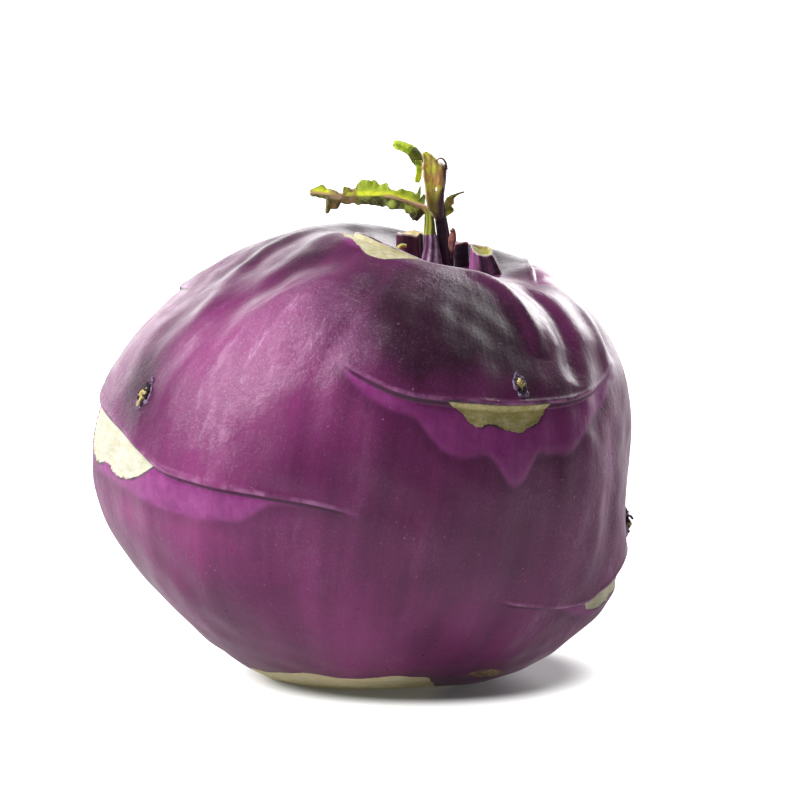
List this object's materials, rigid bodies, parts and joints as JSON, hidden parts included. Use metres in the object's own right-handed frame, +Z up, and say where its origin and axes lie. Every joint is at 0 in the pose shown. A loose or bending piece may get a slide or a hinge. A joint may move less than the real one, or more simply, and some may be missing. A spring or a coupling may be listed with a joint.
{
  "type": "kohlrabi",
  "caption": "Purple kohlrabi, trimmed for sale: lopsided swollen stem with leaf scars, dormant buds, stalk stubs and young crown leaves, resting on its flat cut heel.",
  "frame": {"origin": "middle of the bounding box on the plane that the kohlrabi rests on", "axes": "+Z up from the cut heel to the crown, -Y is the front with the largest leaf scar, +X is the side that the crown leans to"},
  "size_m": [0.091, 0.09, 0.0906],
  "materials": {
    "purple_skin": "smooth waxy purple skin with a pale bloom",
    "young_stalk": "satin dark purple leaf stalk",
    "young_leaf": "soft yellow-green young leaf",
    "dried_leaf": "dry brown leaf tip",
    "cut_flesh": "matt pale yellow-green cut stalk",
    "stalk_stub": "satin dark purple stub with a pale cut end",
    "dormant_bud": "dark papery bud scales"
  },
  "bodies": {
    "root": {"swollen_stem": "purple_skin", "leaf_upright": "young_stalk", "leaf_left": "young_leaf", "leaf_small_right": "young_leaf", "leaf_dried_tip": "dried_leaf", "leaf_tip_cut": "cut_flesh", "stalk_stub_right": "stalk_stub", "stalk_stub_back_left": "stalk_stub", "stalk_stub_back": "stalk_stub", "bud_front": "dormant_bud", "bud_left": "dormant_bud", "bud_right": "dormant_bud", "bud_back": "dormant_bud", "bud_back_left": "dormant_bud", "bud_back_right": "dormant_bud", "bud_low_back": "dormant_bud"}
  },
  "joints": []
}
